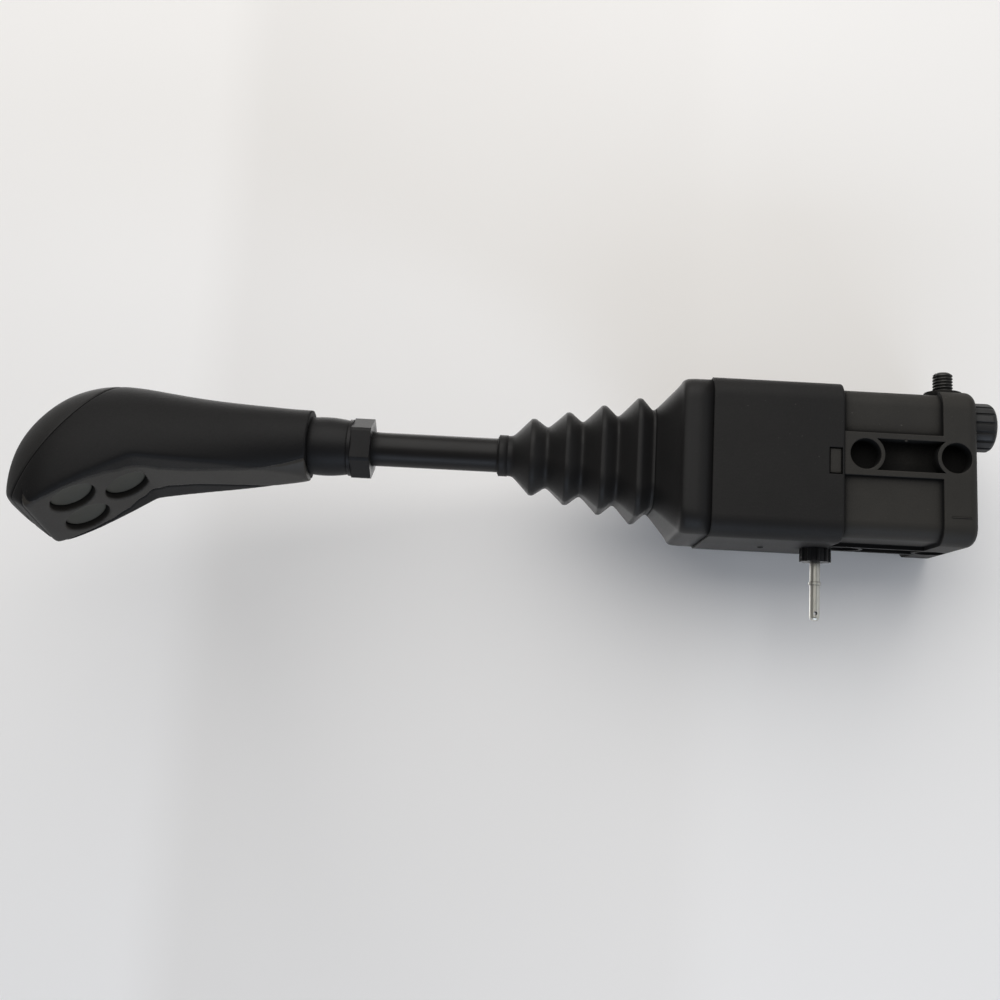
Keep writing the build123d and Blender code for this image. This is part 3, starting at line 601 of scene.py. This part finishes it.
def panelDistance(place):
    # how far outside the front panel's parting line a place lies; negative on the panel
    beside = abs(place.dot(gripSide)) - valueAt(panelWidths, place.z, True)
    behind = place.dot(gripAcross) - valueAt(frontPlaces, place.z) - gripValues["panelBehind"]
    above = place.z - headTop - gripValues["panelAbove"]
    return max(beside, behind, above)


def inHole(place, centre):
    # depth in front of a button hole's rim, and distance from its axis
    offset = place - centre
    depth = offset.dot(faceNormal)
    return depth, (offset - faceNormal * depth).length


def partOf(place):
    for centre in holeCentres:
        depth, reach = inHole(place, centre)
        if (
            -gripValues["barrelDepth"] < depth < gripValues["barrelLip"]
            and reach < gripValues["barrelRadius"]
        ):
            return "front"
    if panelDistance(place) < 0:
        return "front"
    return "cap" if place.dot(capNormal) > capReach else "rear"


gripShape = bmesh.new()
for nodeName in ("grip_rear_shell", "grip_head_cap", "grip_front_shell"):
    gripShape.from_mesh(nodes[nodeName].data)
gripMesh = bpy.data.meshes.new("gripForm")
gripShape.to_mesh(gripMesh)
gripShape.free()
gripForm = raw("gripForm", gripMesh)
remesh = gripForm.modifiers.new("remesh", "REMESH")
remesh.mode = "VOXEL"
remesh.voxel_size = gripValues["voxel"]
gripForm = raw("gripSmooth", applied(gripForm, "gripSmooth"))

# The lower end and the button holes stay firm while the rest is rounded
softGroup = gripForm.vertex_groups.new(name="soft")
for vertex in gripForm.data.vertices:
    rise = vertex.co.z - gripStart - gripValues["firmRise"]
    weight = min(1.0, max(0.0, rise / gripValues["softRise"]))
    for centre in holeCentres:
        depth, reach = inHole(vertex.co, centre)
        if depth > -gripValues["firmDepth"]:
            fade = (reach - gripValues["firmRadius"]) / gripValues["firmFade"]
            weight = min(weight, max(0.0, fade))
    softGroup.add((vertex.index,), weight, "REPLACE")
for rounds, group in ((gripValues["softRounds"], ""), (gripValues["roundRounds"], "soft")):
    rounding = gripForm.modifiers.new("rounding", "SMOOTH")
    rounding.factor = 0.5
    rounding.iterations = rounds
    rounding.vertex_group = group
gripSolid = applied(gripForm, "gripSolid")
print("stage: grip smoothed", len(gripSolid.vertices))

normals = [vertex.normal.copy() for vertex in gripSolid.vertices]
for vertex, normal in zip(gripSolid.vertices, normals):
    outside = panelDistance(vertex.co)
    groove = math.exp(-(outside / gripValues["grooveWidth"]) ** 2)
    if outside > 0:
        above = vertex.co.dot(capNormal) - capReach
        groove = max(groove, math.exp(-(above / gripValues["grooveWidth"]) ** 2))
    if groove > gripValues["grooveLeast"]:
        vertex.co -= normal * gripValues["grooveDepth"] * groove
parts = [partOf(face.center) for face in gripSolid.polygons]
for part, pieceName, slotName, nodeName in (
    ("rear", "gripRear", "grip_plastic", "grip_rear_shell"),
    ("cap", "gripCap", "cap_plastic", "grip_head_cap"),
    ("front", "gripFront", "grip_front_plastic", "grip_front_shell"),
):
    shape = bmesh.new()
    shape.from_mesh(gripSolid)
    shape.faces.ensure_lookup_table()
    others = [face for face, name in zip(shape.faces, parts) if name != part]
    bmesh.ops.delete(shape, geom=others, context="FACES")
    mesh = bpy.data.meshes.new(pieceName)
    shape.to_mesh(mesh)
    shape.free()
    # a null normal asks for the plain one, worked out apart for each fan of faces at the cut
    mesh.normals_split_custom_set_from_vertices([(0, 0, 0)] * len(mesh.vertices))
    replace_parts(addPiece(pieceName, mesh, slotName, "lever"), nodeName)
print("stage: grip made")


def lathe(name, line, origin, axis, start, around, wave=None):
    # line is (radius, height along the axis) from end to end; wave adds to the radius
    axis = Vector(axis).normalized()
    start = (Vector(start) - axis * Vector(start).dot(axis)).normalized()
    other = axis.cross(start)
    rings = []
    for radius, height in line:
        ring = []
        for index in range(around):
            angle = 2 * math.pi * index / around
            reach = radius + (wave(radius, height, angle) if wave else 0.0)
            out = (start * math.cos(angle) + other * math.sin(angle)) * reach
            ring.append(tuple(Vector(origin) + out + axis * height))
        rings.append(ring)
    return skin(name, rings, ends=True)


# Buttons: round dished caps with a raised rim, on a short stem
buttonValues = {
    "radius": 0.0084, "sink": 0.0026, "thickness": 0.004, "dish": 0.0011, "rim": 0.0007,
    "around": 96, "stemRadius": 0.003, "stemEnd": -0.0083,
    "rimTurns": (0, 0.4, 0.8, 1.2, 1.57),
    "dishShares": (1.0, 0.97, 0.9, 0.8, 0.65, 0.5, 0.35, 0.2, 0.08),
}
edge, rim, thickness = (buttonValues[key] for key in ("radius", "rim", "thickness"))
capLine = [
    (buttonValues["stemRadius"] - 0.0001, buttonValues["stemEnd"]),
    (buttonValues["stemRadius"], -thickness),
    (edge - 0.0003, -thickness),
    (edge, -thickness + 0.0003),
]
capLine += [
    (edge - rim * (1 - math.cos(turn)), -rim + rim * math.sin(turn))
    for turn in buttonValues["rimTurns"]
]
capLine.append((edge - rim - 0.0003, 0.0))
capLine += [
    ((edge - rim - 0.0006) * share, -buttonValues["dish"] * (1 - share * share) - 0.0001)
    for share in buttonValues["dishShares"]
]
for place, holeCentre in zip(buttonPlaces, holeCentres):
    centre = holeCentre - faceNormal * buttonValues["sink"]
    mesh = lathe("buttonCap", capLine, centre, faceNormal, gripSide, buttonValues["around"])
    pieceName = "buttonCap" + place.capitalize()
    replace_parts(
        addPiece(pieceName, mesh, "button_plastic", "button_" + place), "button_" + place
    )
print("stage: buttons made")

# Clamping screw: a slotted stud with a real thread
screwValues = {
    "radius": 0.004, "pitch": 0.00125, "depth": 0.00055, "flank": 2.6, "step": 0.00012,
    "around": 64, "slotWide": 0.0012, "slotDeep": 0.0024, "slotLong": 0.02, "slotTurn": 0.35,
}
screwLow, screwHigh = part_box("clamp_screw")
screwY, screwZ = (screwLow[1] + screwHigh[1]) / 2, (screwLow[2] + screwHigh[2]) / 2
screwLength, stud = screwHigh[0] - screwLow[0], screwValues["radius"]
screwLine = [(stud - 0.0008, 0.0), (stud - 0.0001, 0.0008)]
screwLine += [
    (stud, 0.0009 + row * screwValues["step"])
    for row in range(int((screwLength - 0.0019) / screwValues["step"]))
]
screwLine += [
    (stud - 0.0001, screwLength - 0.0008),
    (stud - 0.0009, screwLength - 0.0002),
    (stud - 0.0012, screwLength),
]


def threadWave(radius, height, angle):
    if radius < stud - 1e-6:
        return 0.0
    phase = (height / screwValues["pitch"] - angle / (2 * math.pi)) % 1.0
    return -screwValues["depth"] * max(0.0, 1.0 - abs(phase - 0.5) * screwValues["flank"])


screwMesh = lathe(
    "slottedStud", screwLine, (screwLow[0], screwY, screwZ), (1, 0, 0), (0, 1, 0),
    screwValues["around"], threadWave,
)
screw = raw("slottedStud", screwMesh)
slotSize = (screwValues["slotDeep"] * 2, screwValues["slotWide"], screwValues["slotLong"])
slotTurn = Matrix.Rotation(screwValues["slotTurn"], 3, "X")
slotShape = bmesh.new()
bmesh.ops.create_cube(slotShape, size=1.0)
bmesh.ops.scale(slotShape, vec=slotSize, verts=slotShape.verts)
bmesh.ops.rotate(slotShape, cent=(0, 0, 0), matrix=slotTurn, verts=slotShape.verts)
bmesh.ops.translate(slotShape, vec=(screwHigh[0], screwY, screwZ), verts=slotShape.verts)
slotMesh = bpy.data.meshes.new("slotCutter")
slotShape.to_mesh(slotMesh)
slotShape.free()
cutter = raw("slotCutter", slotMesh)
slot = screw.modifiers.new("slot", "BOOLEAN")
slot.operation = "DIFFERENCE"
slot.object = cutter
slot.solver = "EXACT"
screwMesh = applied(screw, "slottedStud")
bpy.data.objects.remove(cutter)
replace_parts(addPiece("slottedStud", screwMesh, "dark_steel", "valve"), "clamp_screw")
print("stage: screw made")

# Mould marks: a fine bar on the base's collar, and gate marks on the cover and in the base
baseFront = -0.031
markValues = {
    "mouldBar": {
        "place": (-0.0203, baseFront, 0.0073), "across": (1, 0, 0), "out": (0, -1, 0),
        "long": 0.008, "wide": 0.0005, "proud": 0.00025, "slot": "base_plastic",
    },
    "gateMark": {
        "place": (coverLow[0], 0.004, 0.079), "across": (0, 1, 0), "out": (-1, 0, 0),
        "long": 0.0024, "wide": 0.0024, "proud": 0.0005, "slot": "cover_plastic",
    },
    "pocketMark": {
        "place": (0.0088, baseFront, 0.029), "across": (1, 0, 0), "out": (0, -1, 0),
        "long": 0.0012, "wide": 0.00084, "proud": 0.00025, "slot": "base_plastic",
    },
}


def pill(name, values, around=40):
    # a low rounded bar along Z, lying on a face
    place, across, out = (Vector(values[key]) for key in ("place", "across", "out"))
    long, wide, proud = values["long"], values["wide"], values["proud"]
    rings = []
    for inset, height in ((0.0, -1.0), (0.0, 0.4), (0.25, 0.8), (0.6, 1.0)):
        ring = []
        reach = wide / 2 * (1 - inset)
        for index in range(around):
            angle = 2 * math.pi * index / around
            shift = math.copysign((long - wide) / 2, math.cos(angle))
            up = Vector((0, 0, reach * math.cos(angle) + shift))
            ring.append(tuple(
                place + up + across * (reach * math.sin(angle)) + out * (proud * height)
            ))
        rings.append(ring)
    return skin(name, rings, ends=True)


for name, values in markValues.items():
    addPiece(name, pill(name, values), values["slot"], "valve")
print("stage: marks made")

# Floor: flat under the housing, then it falls away so that the lever can lean back
floorValues = {
    "half": 3.0, "colour": (0.9, 0.885, 0.87), "mottle": 0.02, "rough": 0.75,
    "dipStart": 0.08, "dipEnd": 0.355, "curve": 0.03, "fall": 0.34, "steps": 12,
}
half, curve, fall, steps = (floorValues[key] for key in ("half", "curve", "fall", "steps"))
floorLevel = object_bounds()[1][1]
floorDepth = fall * (floorValues["dipEnd"] - floorValues["dipStart"] - curve)
floorLine = [(-half, floorLevel)]
for step in range(steps + 1):
    t = step / steps
    drop = fall * curve * t * t / 2
    floorLine.append((floorValues["dipStart"] + curve * t, floorLevel + drop))
for step in range(steps + 1):
    t = 1 - step / steps
    lift = fall * curve * t * t / 2
    floorLine.append((floorValues["dipEnd"] - curve * t, floorLevel + floorDepth - lift))
floorLine.append((half, floorLevel + floorDepth))
floorMesh = bpy.data.meshes.new("floor")
floorMesh.from_pydata(
    [(side, y, z) for z, y in floorLine for side in (-half, half)],
    [],
    [(2 * row, 2 * row + 1, 2 * row + 3, 2 * row + 2) for row in range(len(floorLine) - 1)],
)
for face in floorMesh.polygons:
    face.use_smooth = True
floor = raw("floor", floorMesh)
floorSkin = bpy.data.materials.new("floorPaint")
floorSkin.use_nodes = True
Sock.tree = floorSkin.node_tree
floorShader = floorSkin.node_tree.nodes["Principled BSDF"]
floorTone = noiseAt(Sock.node("ShaderNodeTexCoord", output=3), 4.0, 4.0)
palest, darkest = 1 + floorValues["mottle"], 1 - floorValues["mottle"]
Sock.feed(
    floorShader.inputs["Base Color"],
    blendColour(
        tint(floorValues["colour"], darkest), tint(floorValues["colour"], palest), floorTone
    ),
)
floorShader.inputs["Roughness"].default_value = floorValues["rough"]
fromBehind = Sock.node("ShaderNodeNewGeometry", output="Backfacing")
clear = Sock.node("ShaderNodeBsdfTransparent")
oneSided = Sock.node(
    "ShaderNodeMixShader", {}, {0: fromBehind, 1: Sock(floorShader.outputs["BSDF"]), 2: clear}
)
Sock.feed(floorSkin.node_tree.nodes["Material Output"].inputs["Surface"], oneSided)
floorMesh.materials.append(floorSkin)
print("stage: floor made")

# Light: soft boxes and a dim even world
worldValues = {"colour": (1.0, 0.98, 0.96, 1.0), "strength": 0.17}
lightValues = {
    "keyLight": {
        "place": (0.75, -0.85, 0.3), "size": (1.5, 1.5), "power": 16.0,
        "colour": (1.0, 0.985, 0.96),
    },
    "fillLight": {
        "place": (-0.95, -0.42, 0.05), "size": (0.4, 1.3), "power": 5.0,
        "colour": (0.74, 0.84, 1.0),
    },
    "endLight": {
        "place": (0.1, -0.5, -0.9), "size": (0.8, 0.8), "power": 1.5,
        "colour": (0.9, 0.95, 1.0),
    },
    "backLight": {
        "place": (0.35, 0.95, 0.35), "size": (1.2, 1.2), "power": 9.0,
        "colour": (1.0, 0.99, 0.98),
    },
}
lightTarget = Vector((0.0, 0.0, 0.2))
world = bpy.data.worlds.new("world")
bpy.context.scene.world = world
world.use_nodes = True
background = world.node_tree.nodes["Background"]
background.inputs["Color"].default_value = worldValues["colour"]
background.inputs["Strength"].default_value = worldValues["strength"]
lights = {}
for name, values in lightValues.items():
    lamp = bpy.data.lights.new(name, "AREA")
    lamp.shape = "RECTANGLE"
    lamp.size, lamp.size_y = values["size"]
    lamp.energy = values["power"]
    lamp.color = values["colour"]
    lights[name] = raw(name, lamp)
    lights[name].location = values["place"]
    facing = lightTarget - Vector(values["place"])
    lights[name].rotation_euler = facing.to_track_quat("-Z", "Y").to_euler()
sparedFloor = bpy.data.collections.new("sparedFloor")
sparedFloor.objects.link(floor)
sparedFloor.collection_objects[0].light_linking.link_state = "EXCLUDE"
backLinking = lights["backLight"].light_linking  # it passes the floor and doesn't light it
backLinking.blocker_collection = sparedFloor
backLinking.receiver_collection = sparedFloor

cameraValues = {
    "place": (-0.0849, -0.4893, 0.1696),
    "forward": (0.19095, 0.98142, -0.01896),
    "up": (0.98043, -0.18974, 0.05259),
    "sensor": 36.0,
    "lens": 43.42,
    "shift": (-0.0682, -0.0655),
    "nearest": 0.01,
}
forward = Vector(cameraValues["forward"]).normalized()
across = forward.cross(Vector(cameraValues["up"])).normalized()
turn = Matrix((across, across.cross(forward), -forward)).transposed().to_4x4()
cameraData = bpy.data.cameras.new("camera")
cameraData.sensor_width = cameraValues["sensor"]
cameraData.lens = cameraValues["lens"]
cameraData.shift_x, cameraData.shift_y = cameraValues["shift"]
cameraData.clip_start = cameraValues["nearest"]
camera = raw("camera", cameraData)
camera.matrix_world = Matrix.Translation(cameraValues["place"]) @ turn
bpy.context.scene.camera = camera
bpy.context.scene.view_settings.view_transform = "Standard"
print("stage: light and camera set")
